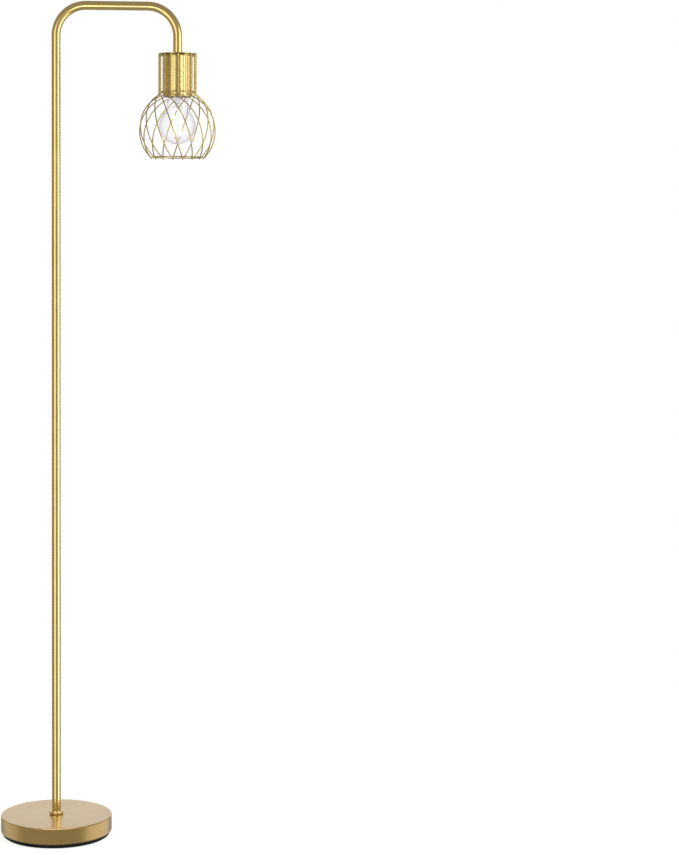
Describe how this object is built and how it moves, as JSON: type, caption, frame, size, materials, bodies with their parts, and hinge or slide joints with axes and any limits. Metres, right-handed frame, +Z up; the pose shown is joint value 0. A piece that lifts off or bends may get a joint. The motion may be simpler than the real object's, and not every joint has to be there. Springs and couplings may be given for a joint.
{
  "type": "floor lamp",
  "caption": "Floor lamp with a weighted round base, a tube pole whose top bends over, and a globe-shaped wire cage hung round a socket cup and a clear bulb.",
  "frame": {"origin": "centre of the base's underside, on the floor", "axes": "+Z up along the pole, +X from the pole towards the hanging cage, -Y towards the viewer of the whole lamp; metres in the record, millimetres in the solids"},
  "size_m": [0.4036, 0.2116, 1.575],
  "materials": {
    "gold_steel": "satin gold",
    "gold_wire": "satin gold",
    "gold_plate": "satin gold",
    "textured_gold": "fine sand texture, gold",
    "pad_foam": "matt black",
    "black_plastic": "matt black",
    "cast_iron": "rough cast",
    "plated_steel": "zinc plated",
    "holder_plastic": "satin black",
    "contact_brass": "bright",
    "clear_glass": "clear",
    "stem_glass": "clear",
    "cap_metal": "satin",
    "black_insulator": "gloss black",
    "solder": "dull",
    "support_wire": "bright",
    "filament_coating": "matt warm yellow",
    "lead_sheath": "matt"
  },
  "bodies": {
    "lamp": {"base_cover": "gold_steel", "foot_collar": "gold_steel", "pole_lower": "gold_steel", "pole_upper": "gold_steel", "arm_tube": "gold_steel", "cage_ring_top": "gold_wire", "cage_ring_middle": "gold_wire", "cage_ring_mouth": "gold_wire", "cage_wire_01": "gold_wire", "cage_wire_02": "gold_wire", "cage_wire_03": "gold_wire", "cage_wire_04": "gold_wire", "cage_wire_05": "gold_wire", "cage_wire_06": "gold_wire", "cage_wire_07": "gold_wire", "cage_wire_08": "gold_wire", "cage_wire_09": "gold_wire", "cage_wire_10": "gold_wire", "cage_wire_11": "gold_wire", "cage_wire_12": "gold_wire", "cage_wire_13": "gold_wire", "cage_wire_14": "gold_wire", "cage_wire_15": "gold_wire", "cage_wire_16": "gold_wire", "cage_plate": "gold_plate", "socket_cup": "textured_gold", "base_pad": "pad_foam", "base_tray": "black_plastic", "cord_bushing": "black_plastic", "base_weight": "cast_iron", "base_washer": "plated_steel", "base_lock_washer": "plated_steel", "base_nut": "plated_steel", "base_stem": "plated_steel", "foot_socket": "plated_steel", "lower_joint_stud": "plated_steel", "lower_joint_socket": "plated_steel", "upper_joint_stud": "plated_steel", "upper_joint_socket": "plated_steel", "arm_socket": "plated_steel", "head_stem": "plated_steel", "head_lock_washer": "plated_steel", "head_nut": "plated_steel", "tray_screws": "plated_steel", "terminal_screws": "plated_steel", "holder_cap": "holder_plastic", "holder_body": "holder_plastic", "screw_shell": "contact_brass", "centre_contact": "contact_brass", "terminal_plates": "contact_brass", "inner_lead": "lead_sheath"},
    "bulb_feed": {"bulb_tip": "solder"},
    "bulb": {"bulb_glass": "clear_glass", "bulb_cap": "cap_metal", "bulb_insulator": "black_insulator", "bulb_stem": "stem_glass", "bulb_supports": "support_wire", "bulb_filaments": "filament_coating"}
  },
  "joints": [
    {"name": "bulb_travel", "type": "slide", "parent": "lamp", "child": "bulb_feed", "axis": [0, 0, -1], "range_m": [0, 0.01815]},
    {"name": "bulb_turn", "type": "hinge", "parent": "bulb_feed", "child": "bulb", "pos_m": [0.227, 0, 1.43], "axis": [0, 0, -1], "range_deg": [0, 1800]}
  ],
  "couplings": [
    {"joint": "bulb_travel", "follows": "bulb_turn", "m_per_rad": 0.00057757}
  ]
}
